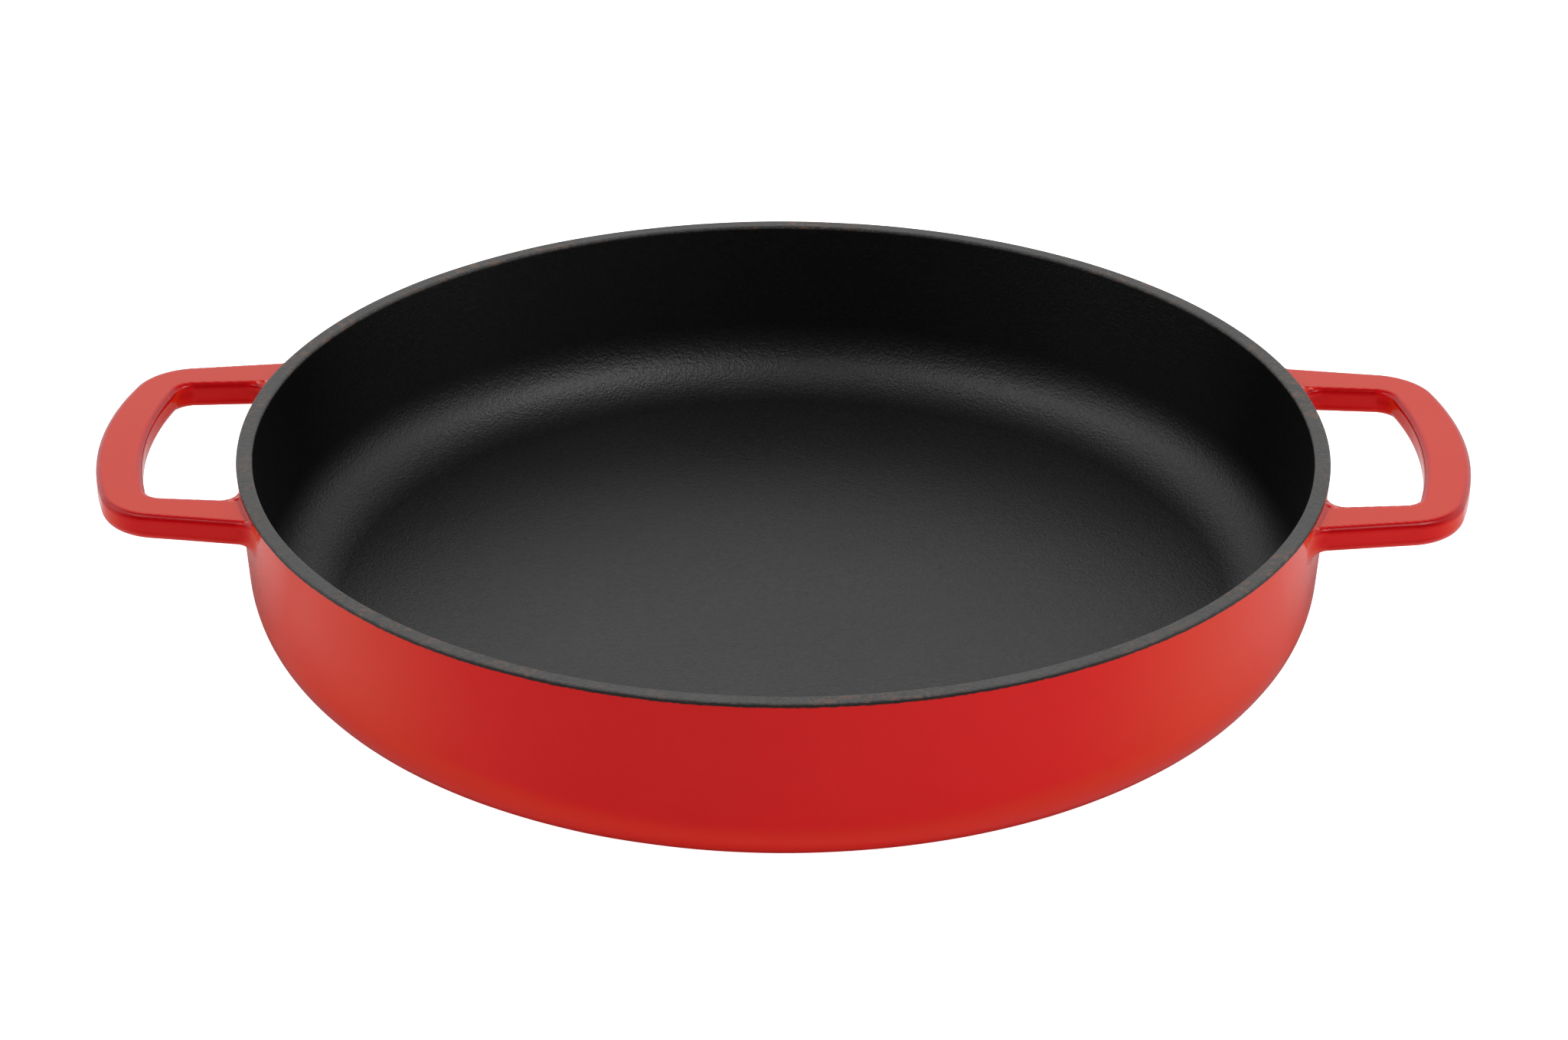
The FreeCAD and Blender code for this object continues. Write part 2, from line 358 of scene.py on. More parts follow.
def handle_patch():
    """Surface net of wall plus +X handle on a polar grid, one vertex per crossed cell.

    Returns vertices, quads, and for each vertex its (column, row) when it lies
    on the border of the patch, or (-1, -1).
    """
    cell_z = RED_TOP - np.arange(ROWS) * ROW_STEP
    grid_z = np.concatenate([[RED_TOP + ROW_STEP / 2], cell_z - ROW_STEP / 2])[::-1]
    axes = np.meshgrid(EDGES, np.arange(*PATCH_R), grid_z, indexing="ij")
    dist = outside_distance(from_polar(*axes))
    inside = dist < 0
    grid = np.stack(axes, -1)
    size = np.array(dist.shape)
    shape = tuple(size - 1)
    total, count = np.zeros(shape + (3,)), np.zeros(shape)
    quads = []
    for axis in range(3):
        low, high = [slice(None)] * 3, [slice(None)] * 3
        low[axis], high[axis] = slice(0, -1), slice(1, None)
        low, high = tuple(low), tuple(high)
        cross = inside[low] != inside[high]
        t = np.where(cross, dist[low] / np.where(cross, dist[low] - dist[high], 1.0), 0.0)
        place = (grid[low] + t[..., None] * (grid[high] - grid[low])) * cross[..., None]
        others = [k for k in range(3) if k != axis]
        for shifts in product((0, 1), repeat=2):
            cells = [slice(None)] * 3
            for other, shift in zip(others, shifts):
                cells[other] = slice(shift, size[other] - 1 + shift)
            total += place[tuple(cells)]
            count += cross[tuple(cells)]
        found = np.argwhere(cross)
        within = (found[:, others] >= 1) & (found[:, others] <= size[others] - 2)
        found = found[within.all(1)]
        corners = []
        for shifts in ((1, 1), (0, 1), (0, 0), (1, 0)):
            cell = found.copy()
            cell[:, others] -= shifts
            corners.append(np.ravel_multi_index(tuple(cell.T), shape))
        quads.append(np.stack(corners, 1))
    used = np.flatnonzero(count.ravel() > 0)
    index = np.full(count.size, -1)
    index[used] = np.arange(len(used))
    polar = total.reshape(-1, 3)[used] / count.ravel()[used][:, None]
    col, _, level = np.unravel_index(used, shape)
    row = shape[2] - 1 - level
    border = (col == 0) | (col == shape[0] - 1) | (row == 0) | (row == ROWS - 1)
    tag = np.where(border[:, None], np.stack([col, row], 1), -1)
    return from_polar(*polar.T), index[np.concatenate(quads)], tag


def side_pairs(*face_groups):
    """Vertex pairs of all face sides, in both directions."""
    pairs = []
    for faces in face_groups:
        corners = faces.shape[1]
        pairs += [faces[:, [k, (k + 1) % corners]] for k in range(corners)]
    pairs = np.concatenate(pairs)
    return np.concatenate([pairs, pairs[:, ::-1]])


def relax(verts, quads, fixed, rounds=5):
    """Evens out the quads without leaving the surface; also returns the normals."""
    pairs = side_pairs(quads)
    total = len(verts)
    count = np.bincount(pairs[:, 0], minlength=total).astype(float)
    free = ~fixed
    verts[free], normal = project(verts[free])
    for _ in range(rounds):
        sums = [np.bincount(pairs[:, 0], verts[pairs[:, 1], k], total) for k in range(3)]
        mean = np.stack(sums, 1) / count[:, None]
        step = 0.5 * (mean[free] - verts[free])
        step -= normal * (step * normal).sum(-1, keepdims=True)
        verts[free], normal = project(verts[free] + step, steps=3)
    normals = np.zeros_like(verts)
    normals[free] = normal
    return verts, normals


def lathe(rows):
    """Vertices and normals of rows turned through all columns."""
    cos, sin = np.cos(THETA), np.sin(THETA)
    radius, z, normal_r, normal_z = (part[:, None] for part in np.array(rows).T)
    verts = np.stack([radius * cos, radius * sin, np.repeat(z, COLS, 1)], -1)
    normals = np.stack([normal_r * cos, normal_r * sin, np.repeat(normal_z, COLS, 1)], -1)
    return verts.reshape(-1, 3), normals.reshape(-1, 3)


def grid_quads(row_count):
    """Quads between rows, as an array of (row, column, corner)."""
    row, col = np.meshgrid(np.arange(row_count - 1), np.arange(COLS), indexing="ij")
    after = (col + 1) % COLS
    here, below = row * COLS, (row + 1) * COLS
    return np.stack([here + col, below + col, below + after, here + after], -1)


def close_centre(verts, normals, up):
    """Adds a point on the axis and a fan to it from the last row."""
    last = len(verts) - COLS + FIRST_ROW
    fan = np.stack([last, np.full(COLS, len(verts)), np.roll(last, -1)], 1)
    centre = [[0, 0, verts[-1, 2]]]
    return np.vstack([verts, centre]), np.vstack([normals, [[0, 0, up]]]), fan


def wound(faces, verts, normals):
    """Faces turned to the side their normals point to."""
    first = verts[faces[:, 2]] - verts[faces[:, 0]]
    second = verts[faces[:, -1]] - verts[faces[:, 1]]
    flip = (np.cross(first, second) * normals[faces].sum(1)).sum(1) < 0
    faces[flip] = faces[flip][:, ::-1]
    return faces


def outside_surface():
    """Outer surface of the red coat: a lathe with the handle patch set into two windows."""
    rows = outside_rows()
    verts, normals = lathe(rows)
    keep = np.ones((len(rows) - 1, COLS), bool)
    for window in WINDOWS:
        keep[:ROWS - 1, window[:-1]] = False
    quads = [grid_quads(len(rows))[keep]]
    verts, normals, fan = close_centre(verts, normals, up=-1.0)

    patch, patch_quads, tag = handle_patch()
    fixed = tag[:, 0] >= 0
    col, row = tag[fixed].T
    patch[fixed] = verts[row * COLS + WINDOWS[0][col]]
    patch, patch_normals = relax(patch, patch_quads, fixed)
    for window, sign in zip(WINDOWS, (1.0, -1.0)):
        turn = np.array([sign, sign, 1.0])      # the -X handle is turned by half a turn
        ids = np.empty(len(patch), int)
        ids[fixed] = row * COLS + window[col]
        ids[~fixed] = len(verts) + np.arange((~fixed).sum())
        verts = np.vstack([verts, patch[~fixed] * turn])
        normals = np.vstack([normals, patch_normals[~fixed] * turn])
        quads.append(ids[patch_quads])
    quads = np.concatenate(quads)

    # a border vertex can stand for two grid cells: such quads become triangles
    repeats = quads == np.roll(quads, -1, axis=1)
    repeat_count = repeats.sum(1)
    single = repeat_count == 1
    corners = (np.argmax(repeats, 1)[single, None] + np.array([[1, 2, 3]])) % 4
    tris = np.concatenate([fan, np.take_along_axis(quads[single], corners, 1)])
    quads = wound(quads[repeat_count == 0], verts, normals)
    tris = wound(tris, verts, normals)

    used = np.unique(np.concatenate([quads.ravel(), tris.ravel()]))
    index = np.full(len(verts), -1)
    index[used] = np.arange(len(used))
    return Surface(verts[used], normals[used], index[quads], index[tris])


def revolve(rows, closed=False):
    """Lathe surface; closed adds an upward-facing middle."""
    verts, normals = lathe(rows)
    quads = grid_quads(len(rows)).reshape(-1, 4)
    tris = np.zeros((0, 3), int)
    if closed:
        verts, normals, tris = close_centre(verts, normals, up=1.0)
    return Surface(verts, normals, wound(quads, verts, normals), wound(tris, verts, normals))


# ------------------------------------------------------------------ shells
# slow waviness of poured and fired surfaces: wave vector (rad/mm), phase, height (mm)
WAVES = (
    ((0.105, 0.041, 0.060), 0.4, 0.016), ((-0.052, 0.118, 0.045), 1.9, 0.016),
    ((0.171, -0.094, 0.120), 3.1, 0.010), ((0.030, 0.205, -0.150), 4.4, 0.009),
    ((0.262, 0.133, 0.180), 5.2, 0.006), ((-0.221, 0.276, 0.110), 0.9, 0.005),
)


def wavy(surface):
    verts, normals = surface.verts, surface.normals
    lift, slope = np.zeros(len(verts)), np.zeros_like(verts)
    for vector, phase, height in WAVES:
        vector = np.array(vector)
        angle = verts @ vector + phase
        lift += height * np.sin(angle)
        slope += (height * np.cos(angle))[:, None] * vector
    slope = slope - normals * (slope * normals).sum(1)[:, None]
    return surface._replace(verts=verts + normals * lift[:, None],
                            normals=unit(normals - slope))


def under_coat(surface):
    return surface._replace(verts=surface.verts - surface.normals * COAT)


def shell(surface, borders, up):
    """Closed layer COAT thick under a surface; the bands on its borders face up or down."""
    verts, normals, quads, tris = surface
    count = len(verts)
    verts = np.vstack([verts, under_coat(surface).verts])
    all_quads = [quads, quads[:, ::-1] + count]
    for border in borders:
        after = np.roll(border, -1)
        band = np.stack([border, after, after + count, border + count], 1)
        first, second, third = (verts[band[:, k]] for k in range(3))
        if (np.cross(second - first, third - first)[:, 2] * up).mean() < 0:
            band = band[:, ::-1]
        all_quads.append(band)
    return Surface(verts, np.vstack([normals, -normals]), np.concatenate(all_quads),
                   np.concatenate([tris, tris[:, ::-1] + count]))


def join(surfaces):
    """Welds surfaces that share border points exactly."""
    verts = np.vstack([surface.verts for surface in surfaces])
    normals = np.vstack([surface.normals for surface in surfaces])
    offsets = np.cumsum([0] + [len(surface.verts) for surface in surfaces])
    quads = np.concatenate([part.quads + offset for part, offset in zip(surfaces, offsets)])
    tris = np.concatenate([part.tris + offset for part, offset in zip(surfaces, offsets)])
    key = np.round(verts, 5) + 0.0              # adding 0.0 turns -0.0 into 0.0
    _, first, index = np.unique(key, axis=0, return_index=True, return_inverse=True)
    index = index.ravel()
    return Surface(verts[first], normals[first], index[quads], index[tris])


def curvature(surface):
    """Mean curvature estimate per vertex in 1/mm, positive on convex edges."""
    pairs = side_pairs(surface.quads, surface.tris)
    near, far = pairs.T
    span = surface.verts[far] - surface.verts[near]
    bend = ((surface.normals[far] - surface.normals[near]) * span).sum(1)
    bend = bend / np.maximum((span * span).sum(1), 1e-9)
    count = len(surface.verts)
    return np.bincount(near, bend, count) / np.maximum(np.bincount(near, minlength=count), 1)


red = wavy(outside_surface())
rim = wavy(revolve(rim_rows()))
black = wavy(revolve(inside_rows(), closed=True))
RIM_LAST_ROW = len(rim.verts) - COLS + FIRST_ROW
red_edge = curvature(red)

# the skin of the whole pan must fill the box of the CAD's coats
boxes = np.array([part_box(node) for node in (
    "exterior_red_enamel", "rim_ground_coat", "interior_black_enamel")])
skin = np.vstack([red.verts, rim.verts, black.verts])
CAD_MID = (boxes[:, 0].min(0) + boxes[:, 1].max(0)) / 2
MESH_MID = (skin.min(0) + skin.max(0)) / 2
FIT = (boxes[:, 1].max(0) - boxes[:, 0].min(0)) / (skin.max(0) - skin.min(0))


def make_object(name, surface, edge=None):
    """Object from a surface, fitted to the CAD; edge is a curvature value per vertex."""
    verts, normals, quads, tris = surface
    mesh = bpy.data.meshes.new(name)
    mesh.vertices.add(len(verts))
    fitted = (verts - MESH_MID) * FIT + CAD_MID
    mesh.vertices.foreach_set("co", fitted.astype(np.float32).ravel())
    corners = np.concatenate([quads.ravel(), tris.ravel()]).astype(np.int32)
    starts = np.concatenate([np.arange(len(quads)) * 4,
                             len(quads) * 4 + np.arange(len(tris)) * 3]).astype(np.int32)
    mesh.loops.add(len(corners))
    mesh.loops.foreach_set("vertex_index", corners)
    mesh.polygons.add(len(starts))
    mesh.polygons.foreach_set("loop_start", starts)
    mesh.update(calc_edges=True)
    mesh.validate()
    mesh.shade_smooth()
    mesh.normals_split_custom_set_from_vertices(normals.astype(np.float32))
    if edge is not None:
        layer = mesh.attributes.new("edge", "FLOAT", "POINT")
        layer.data.foreach_set("value", edge.astype(np.float32))
    obj = bpy.data.objects.new(name, mesh)
    bpy.context.scene.collection.objects.link(obj)
    return obj


# ------------------------------------------------------------------ materials
TOP_Z = cad_high[2]          # top of the rim; lengths in materials are in metres
MOST = (0.3, 0.7)            # span that holds most values of a noise


class Nodes:
    """Short hand for building the node tree of a material or world."""

    def __init__(self, owner, space="Object"):
        owner.use_nodes = True
        self.tree = owner.node_tree
        self.at = self.node("TexCoord").outputs[space]

    def node(self, kind):
        return self.tree.nodes.new("ShaderNode" + kind)

    def put(self, socket, value):
        if isinstance(value, bpy.types.NodeSocket):
            self.tree.links.new(value, socket)
        else:
            socket.default_value = value

    def fill(self, name, values):
        """Sets or links inputs of the node called name."""
        for key, value in values.items():
            self.put(self.tree.nodes[name].inputs[key], value)

    def texture(self, kind, output, **inputs):
        node = self.node(kind)
        for key, value in inputs.items():
            node.inputs[key].default_value = value
        self.put(node.inputs["Vector"], self.at)
        return node.outputs[output]

    def noise(self, scale, detail=3.0, rough=0.5):
        return self.texture("TexNoise", "Fac", Scale=scale, Detail=detail, Roughness=rough)

    def remap(self, value, span=MOST, to=(0.0, 1.0), smooth=False):
        node = self.node("MapRange")
        node.interpolation_type = "SMOOTHSTEP" if smooth else "LINEAR"
        self.put(node.inputs["Value"], value)
        for key, limit in zip(("From Min", "From Max", "To Min", "To Max"), (*span, *to)):
            node.inputs[key].default_value = limit
        return node.outputs["Result"]

    def math(self, operation, *values):
        node = self.node("Math")
        node.operation = operation
        for socket, value in zip(node.inputs, values):
            self.put(socket, value)
        return node.outputs[0]

    def mix(self, factor, under, over):
        """Colour mix; factor 1 gives the second colour."""
        node = self.node("Mix")
        node.data_type = "RGBA"
        self.put(node.inputs["Factor"], factor)
        for socket, colour in ((node.inputs[6], under), (node.inputs[7], over)):
            self.put(socket, (*colour, 1.0) if isinstance(colour, tuple) else colour)
        return node.outputs[2]

    def bump(self, height, distance, strength, normal=None):
        node = self.node("Bump")
        node.inputs["Strength"].default_value = strength
        node.inputs["Distance"].default_value = distance
        self.put(node.inputs["Height"], height)
        if normal is not None:
            self.put(node.inputs["Normal"], normal)
        return node.outputs["Normal"]

    def separate(self, vector):
        node = self.node("SeparateXYZ")
        self.put(node.inputs[0], vector)
        return node.outputs

    def height(self):
        return self.separate(self.at)["Z"]

    def slant(self):
        """0 where the surface faces the view, 1 where it is seen edge-on."""
        node = self.node("LayerWeight")
        node.inputs["Blend"].default_value = 0.5
        return node.outputs["Facing"]

    def axis_distance(self):
        flat = self.node("VectorMath")
        flat.operation = "MULTIPLY"
        self.put(flat.inputs[0], self.at)
        flat.inputs[1].default_value = (1.0, 1.0, 0.0)
        length = self.node("VectorMath")
        length.operation = "LENGTH"
        self.put(length.inputs[0], flat.outputs[0])
        return length.outputs["Value"]


def new_material(name, build):
    """Material whose Principled inputs are the ones that build returns."""
    material = bpy.data.materials.new(name)
    net = Nodes(material)
    net.fill("Principled BSDF", build(net))
    return material


def red_enamel(net):
    dark_red, light_red = (0.600, 0.0130, 0.0128), (0.640, 0.0155, 0.0148)
    # the orange-red below is a painted sheen for surfaces seen at a slant
    mottle, slant_sheen_orange = (0.44, 0.008, 0.008), (0.615, 0.0310, 0.0070)
    # painted shade: darker reds for convex edges, sharp ridges and hollows
    edge_shade_red, ridge_shade_red, hollow_shade_red = (0.560, 0.002, 0.004), (0.300, 0.001, 0.003), (0.380, 0.004, 0.005)
    speck_red, border_brown = (0.16, 0.004, 0.004), (0.022, 0.010, 0.009)

    slow = net.noise(scale=9.0, detail=2.0, rough=0.45)
    fine = net.noise(scale=140.0)
    colour = net.mix(net.remap(slow, span=(0.35, 0.65)), dark_red, light_red)
    colour = net.mix(net.remap(fine, to=(0.0, 0.08)), colour, mottle)
    # painted sheen: more orange where the surface is seen at a slant, less so near the ground
    slant = net.remap(net.slant(), span=(0.27, 0.52), to=(0.0, 0.85), smooth=True)
    raised = net.remap(net.height(), span=(0.008, 0.022), to=(0.3, 1.0), smooth=True)
    colour = net.mix(net.math("MULTIPLY", slant, raised), colour, slant_sheen_orange)
    # painted shade: darker red on convex edges and ridges, standing in for the dark surroundings they
    # mirror, and in hollows where shade falls
    attribute = net.node("Attribute")
    attribute.attribute_name = "edge"
    edge = attribute.outputs["Fac"]
    convex = net.remap(edge, span=(0.06, 0.22), to=(0.0, 0.85), smooth=True)
    ridge_shade = net.remap(edge, span=(0.20, 0.34), to=(0.0, 0.65), smooth=True)
    hollow_shade = net.remap(edge, span=(-0.04, -0.16), to=(0.0, 0.6), smooth=True)
    for factor, over in ((convex, edge_shade_red), (ridge_shade, ridge_shade_red), (hollow_shade, hollow_shade_red)):
        colour = net.mix(factor, colour, over)
    # dark specks in patches
    dots = net.texture("TexVoronoi", "Distance", Scale=210.0)
    dots = net.remap(dots, span=(0.0, 0.05), to=(1.0, 0.0), smooth=True)
    patches = net.remap(net.noise(scale=34.0), span=(0.57, 0.66))
    specks = net.math("MULTIPLY", dots, patches)
    colour = net.mix(net.math("MULTIPLY", specks, 0.35), colour, speck_red)
    # thin, rough brown line along the upper border
    jitter = net.remap(net.noise(scale=700.0, detail=2.0), to=(-0.00013, 0.00013))
    thin = net.math("ADD", net.height(), jitter)
    thin = net.remap(thin, span=(TOP_Z - 0.00112, TOP_Z - 0.00092), smooth=True)
    colour = net.mix(net.math("MULTIPLY", thin, 0.95), colour, border_brown)

    rough = net.math("ADD", net.remap(net.noise(scale=30.0, detail=2.0), to=(0.09, 0.12)),
                     net.remap(fine, to=(0.0, 0.02)))
    peel = net.noise(scale=380.0, detail=1.0, rough=0.4)
    wave = net.noise(scale=60.0, detail=1.0, rough=0.4)
    waved = net.bump(wave, distance=0.00010, strength=0.25)
    peeled = net.bump(peel, distance=0.000010, strength=0.35, normal=waved)
    pitted = net.bump(net.math("SUBTRACT", 1.0, specks), distance=0.00001, strength=0.5,
                      normal=peeled)
    return {
        "Base Color": colour,
        "Roughness": net.math("ADD", rough, net.math("MULTIPLY", thin, 0.3)),
        "IOR": 1.27,
        "Coat Weight": net.remap(edge, span=(0.08, 0.24), to=(0.05, 0.20), smooth=True),
        "Coat Roughness": 0.03,
        "Coat IOR": 1.45,
        "Normal": pitted,
        "Coat Normal": peeled,
    }


def black_enamel(net):
    dark, light, grain_grey = (0.0022, 0.0022, 0.0023), (0.0032,) * 3, (0.0055,) * 3
    slow = net.noise(scale=14.0, detail=4.0, rough=0.55)
    fine = net.noise(scale=900.0, rough=0.6)
    pebble = net.noise(scale=1250.0, detail=2.0, rough=0.6)
    coarse = net.noise(scale=420.0, detail=2.0)
    colour = net.mix(net.remap(slow), dark, light)
    colour = net.mix(net.remap(fine, span=(0.45, 0.75), to=(0.0, 0.35)), colour, grain_grey)
    # shinier on the floor, duller on the wall at a slant
    on_floor = net.remap(net.height(), span=(0.0062, 0.0110), to=(1.0, 0.0), smooth=True)
    on_wall = net.remap(net.height(), span=(0.0100, 0.0220), smooth=True)
    slant = net.remap(net.slant(), span=(0.18, 0.62), smooth=True)
    level = net.math("ADD", 0.5, net.math("MULTIPLY", on_floor, 0.17))
    dulled = net.math("MULTIPLY", net.math("MULTIPLY", on_wall, slant), 0.45)
    rough = net.math("ADD", net.remap(slow, to=(0.38, 0.43)),
                     net.remap(fine, to=(-0.04, 0.06)))
    grained = net.bump(coarse, distance=0.00012, strength=0.7)
    return {
        "Base Color": colour,
        "Specular IOR Level": net.math("SUBTRACT", level, dulled),
        "Roughness": net.math("ADD", rough, net.math("MULTIPLY", on_floor, 0.03)),
        "IOR": 1.5,
        "Normal": net.bump(pebble, distance=0.00020, strength=0.9, normal=grained),
    }


def ground_coat(net):
    dark, light = (0.020, 0.0197, 0.0193), (0.036, 0.0354, 0.0346)
    grain_grey, rust_brown = (0.088, 0.086, 0.084), (0.135, 0.070, 0.045)
    # painted shade: near black for the lower part of the rim's outer edge
    rim_edge_shade_black = (0.010, 0.009, 0.0085)
    slow = net.noise(scale=60.0, detail=4.0, rough=0.6)
    fine = net.noise(scale=1100.0, detail=4.0, rough=0.65)
    colour = net.mix(net.remap(slow), dark, light)
    colour = net.mix(net.remap(fine, span=(0.42, 0.66), to=(0.0, 0.7)), colour, grain_grey)
    rust = net.math("MULTIPLY", net.remap(net.noise(scale=520.0, rough=0.6), span=(0.53, 0.62)),
                    net.remap(net.noise(scale=22.0), span=(0.44, 0.56)))
    colour = net.mix(net.math("MULTIPLY", rust, 0.85), colour, rust_brown)
    # painted shade: darker along the lower part of the outer edge
    reach = net.axis_distance()
    jitter = net.remap(net.noise(scale=520.0, detail=2.0), to=(-0.00012, 0.00012))
    low = net.math("ADD", net.height(), jitter)
    low = net.remap(low, span=(TOP_Z - 0.00012, TOP_Z - 0.00034), smooth=True)
    rim_edge_shade = net.math("MULTIPLY", low, net.remap(reach, span=(0.1425, 0.1432)))
    colour = net.mix(net.math("MULTIPLY", rim_edge_shade, 0.92), colour, rim_edge_shade_black)
    uneven = net.bump(net.noise(scale=260.0), distance=0.00016, strength=0.7)
    return {
        "Base Color": colour,
        "Roughness": net.remap(fine, to=(0.42, 0.62)),
        "IOR": 1.5,
        "Normal": net.bump(net.noise(scale=1000.0), distance=0.00018, strength=0.8,
                           normal=uneven),
    }


def cast_iron(net):
    dark, light, grain_grey = (0.075, 0.075, 0.078), (0.125, 0.122, 0.120), (0.19, 0.185, 0.18)
    grain = net.noise(scale=700.0, detail=4.0, rough=0.65)
    slow = net.noise(scale=40.0, detail=4.0, rough=0.6)
    colour = net.mix(net.remap(slow), dark, light)
    return {
        "Base Color": net.mix(net.remap(grain, span=(0.4, 0.7), to=(0.0, 0.5)), colour,
                              grain_grey),
        "Metallic": 0.8,
        "Roughness": net.remap(grain, to=(0.5, 0.72)),
        "Normal": net.bump(grain, distance=0.00009, strength=0.8),
    }


# object, its surface, its edge values, CAD node, slot, material builder
PIECES = (
    ("cast_iron_body", join([under_coat(part) for part in (red, rim, black)]), None,
     "iron_casting", "cast_iron", cast_iron),
    ("red_enamel_coat", shell(red, [FIRST_ROW], up=1.0),
     np.concatenate([red_edge, np.zeros_like(red_edge)]),
     "exterior_red_enamel", "red_enamel", red_enamel),
    ("bare_rim_coat", shell(rim, [FIRST_ROW, RIM_LAST_ROW], up=-1.0), None,
     "rim_ground_coat", "ground_coat", ground_coat),
    ("black_enamel_coat", shell(black, [FIRST_ROW], up=1.0), None,
     "interior_black_enamel", "black_enamel", black_enamel),
)
for name, surface, edge, cad_node, slot, build in PIECES:
    obj = make_object(name, surface, edge)
    obj.data.materials.append(new_material(slot, build))
    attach(obj, "root")
    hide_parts(cad_node)

# ------------------------------------------------------------------ studio (metres)
FLOOR_SIZE = 14.0
FLOOR_GLOW, FLOOR_WHITE = 0.32, 0.66     # glow for all but mirror rays, extra for the camera
# floor grey in mirror rays: by how far they head for the camera side, and near the pan
CARD_SPAN, CARD_GREY = (-0.35, 0.65), (0.88, 0.34)
NEAR_SPAN, NEAR_SHARE = (0.13, 0.19), (0.35, 1.0)
# sky strength by direction y (front to back), then dimmed with height
SKY_Y, SKY_STRENGTH = (-0.70, 0.25), (0.05, 1.16)
SKY_Z, SKY_DIM = (0.50, 0.85), (1.0, 0.16)
SKY_LEAN = 0.20              # how much higher the dimming starts towards -X
SKY_SOFT = 0.70              # the backdrop's share that lights matte surfaces

# name, place, side of the square, power, seen in mirror rays
SOFTBOXES = (
    ("key_right", (0.85, -0.56, 1.60), 1.10, 3.6, True),
    ("key_left", (-0.78, -0.60, 1.60), 1.10, 0.5, True),
    ("mid_right", (0.95, -0.40, 1.55), 0.70, 5.0, True),
    ("mid_left", (-0.95, -0.30, 1.55), 0.70, 3.5, True),
    ("small_right", (0.85, -0.56, 1.60), 0.32, 5.0, True),
    ("small_left", (-0.78, -0.60, 1.60), 0.32, 3.0, True),
    ("side_right", (1.30, 0.15, 0.40), 0.80, 2.4, False),
    ("side_left", (-1.30, 0.15, 0.40), 0.80, 2.2, False),
    ("front_low", (0.30, -1.40, 0.35), 0.80, 2.0, False),
    ("window_right", (1.20, -0.10, 1.25), 0.90, 1.2, True),
    ("window_left", (-1.28, 0.20, 1.08), 0.90, 1.6, True),
)
LIGHT_TARGET = Vector((0, 0, 0.03))


def studio_floor(net):
    """Backlit white sweep; mirror rays that head for the camera side see a dark card."""
    paper = net.mix(net.remap(net.noise(scale=3.0)), (0.86,) * 3, (0.88,) * 3)
    incoming = net.node("NewGeometry").outputs["Incoming"]
    card = net.remap(net.separate(incoming)["Y"], span=CARD_SPAN, to=CARD_GREY, smooth=True)
    near = net.remap(net.axis_distance(), span=NEAR_SPAN, to=NEAR_SHARE, smooth=True)
    card = net.math("MULTIPLY", card, near)
    grey = net.node("CombineColor")
    for channel in grey.inputs:
        net.put(channel, card)
    rays = net.node("LightPath").outputs
    mirror = rays["Is Glossy Ray"]
    glow = net.math("MULTIPLY", net.math("SUBTRACT", 1.0, mirror), FLOOR_GLOW)
    white = net.math("MULTIPLY", rays["Is Camera Ray"], FLOOR_WHITE)
    return {
        "Base Color": net.mix(mirror, paper, grey.outputs[0]),
        "Emission Color": (1.0, 1.0, 1.0, 1.0),
        "Emission Strength": net.math("ADD", glow, white),
        "Roughness": 0.9,
        "Specular IOR Level": 0.1,
    }


def add_world():
    """Backdrop that is bright at the back and dark in front; plain white to the camera."""
    world = bpy.data.worlds.new("studio_world")
    bpy.context.scene.world = world
    net = Nodes(world, space="Generated")
    way = net.separate(net.at)
    leftward = net.math("MINIMUM", way["X"], 0.0)
    lean = net.math("MULTIPLY_ADD", leftward, SKY_LEAN, way["Z"])
    backdrop = net.math("MULTIPLY",
                        net.remap(way["Y"], span=SKY_Y, to=SKY_STRENGTH, smooth=True),
                        net.remap(lean, span=SKY_Z, to=SKY_DIM, smooth=True))
    rays = net.node("LightPath").outputs
    matte = net.remap(rays["Is Diffuse Ray"], span=(0.0, 1.0), to=(1.0, SKY_SOFT))
    shown = net.node("Mix")
    shown.data_type = "FLOAT"
    net.put(shown.inputs["Factor"], rays["Is Camera Ray"])
    net.put(shown.inputs[2], net.math("MULTIPLY", backdrop, matte))
    shown.inputs[3].default_value = 1.0
    net.fill("Background", {"Color": (1.0, 1.0, 1.0, 1.0), "Strength": shown.outputs[0]})


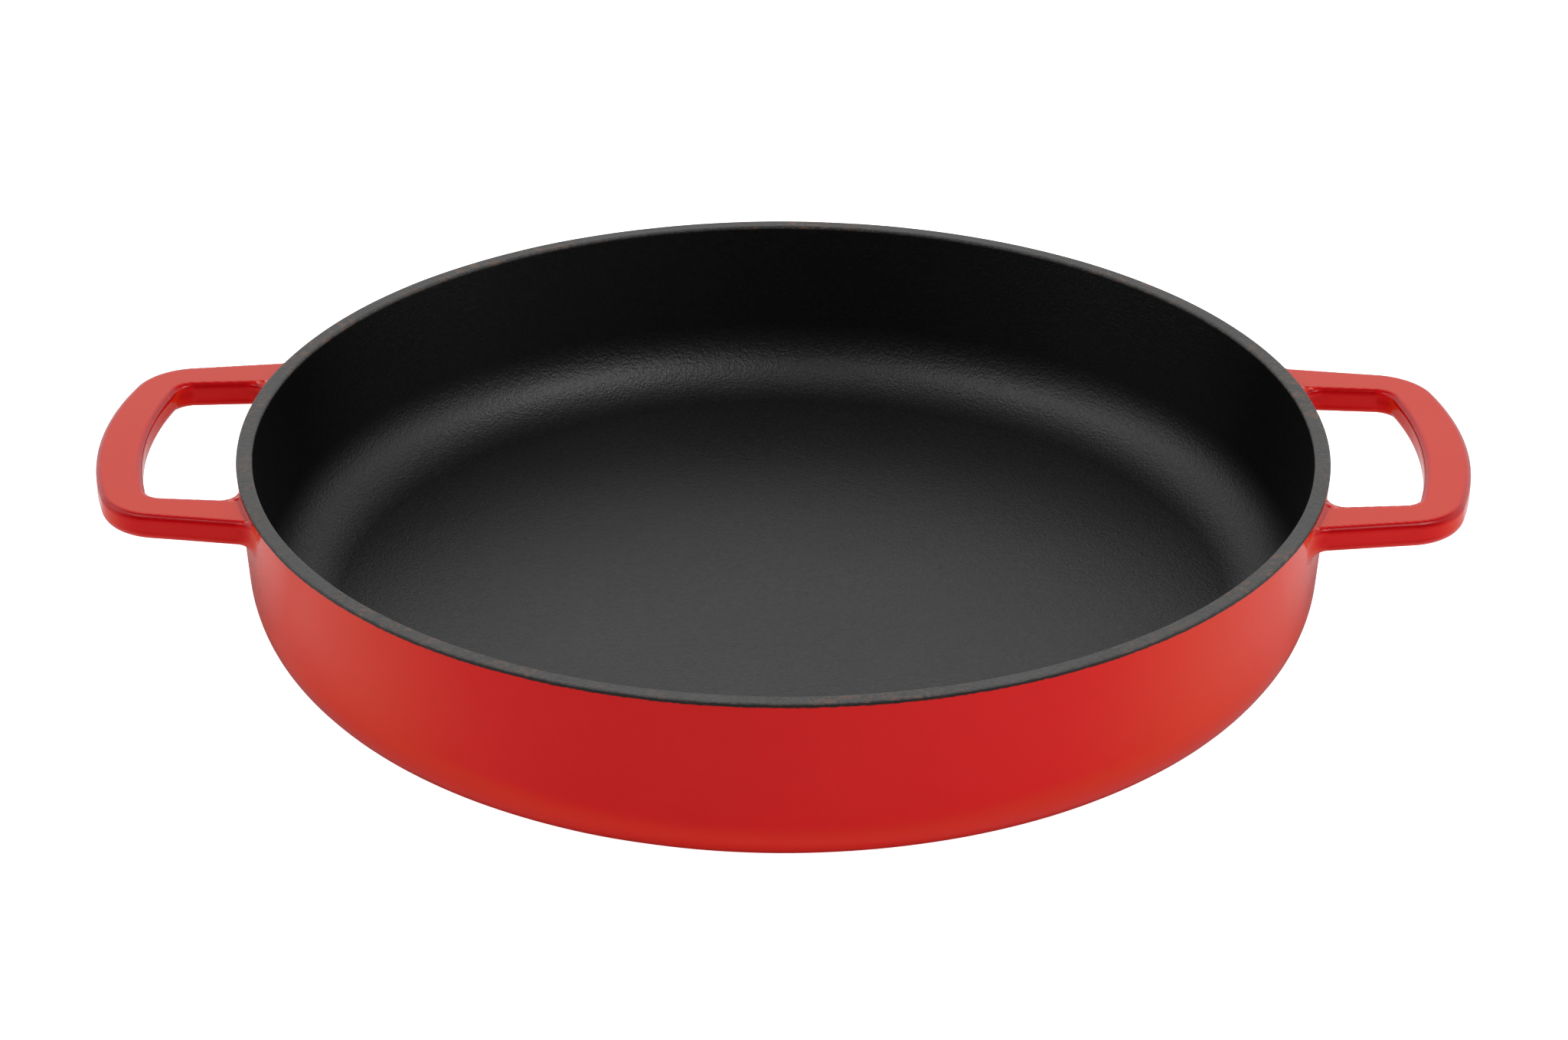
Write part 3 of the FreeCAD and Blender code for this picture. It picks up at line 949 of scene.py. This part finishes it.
def add_softbox(name, place, size, power, mirrored):
    light = bpy.data.lights.new(name, "AREA")
    light.shape = "RECTANGLE"
    light.size = light.size_y = size
    light.energy = power
    obj = bpy.data.objects.new(name, light)
    bpy.context.scene.collection.objects.link(obj)
    obj.location = place
    obj.rotation_mode = "QUATERNION"
    obj.rotation_quaternion = (LIGHT_TARGET - Vector(place)).to_track_quat("-Z", "Y")
    obj.visible_glossy = mirrored


bpy.ops.mesh.primitive_plane_add(size=FLOOR_SIZE, location=(0, 0, 0))
floor = bpy.context.object
floor.name = "studio_floor"
floor.data.materials.append(new_material("studio_floor", studio_floor))
add_world()
for softbox in SOFTBOXES:
    add_softbox(*softbox)

# ------------------------------------------------------------------ camera
CAMERA_DISTANCE = 1152.15    # mm from the middle of the rim's top
# degrees: height above the rim, then yaw, pitch and roll of the view, turn about z
CAMERA_ANGLES = (26.036, -0.0107, -1.110, -0.188, 0.33)


def spin(vector, axis, angle):
    return (vector * math.cos(angle) + np.cross(axis, vector) * math.sin(angle)
            + axis * (axis @ vector) * (1 - math.cos(angle)))


def camera_matrix():
    elevation, yaw, pitch, roll, turn = np.radians(CAMERA_ANGLES)
    place = np.array([0.0, -CAMERA_DISTANCE * math.cos(elevation),
                      CAMERA_DISTANCE * math.sin(elevation)])
    ahead = -place / np.linalg.norm(place)
    right = np.array([1.0, 0.0, 0.0])
    up = np.cross(right, ahead)
    ahead, right = spin(ahead, up, yaw), spin(right, up, yaw)
    ahead, up = spin(ahead, right, pitch), spin(up, right, pitch)
    right, up = spin(right, ahead, roll), spin(up, ahead, roll)
    vertical = np.array([0.0, 0.0, 1.0])
    place, right, up, ahead = (spin(v, vertical, turn) for v in (place, right, up, ahead))
    matrix = Matrix(np.stack([right, up, -ahead], 1).tolist()).to_4x4()
    matrix.translation = Vector((place + (0.0, 0.0, HEIGHT)) * 0.001)
    return matrix


lens = bpy.data.cameras.new("photo_camera")
lens.lens, lens.sensor_width, lens.sensor_fit = 100.0, 36.0, "HORIZONTAL"
lens.clip_start, lens.clip_end = 0.05, 50.0
camera = bpy.data.objects.new("photo_camera", lens)
scene = bpy.context.scene
scene.collection.objects.link(camera)
camera.matrix_world = camera_matrix()
scene.camera = camera
scene.view_settings.view_transform = "Standard"
scene.view_settings.look = "None"
scene.view_settings.exposure = 0.0
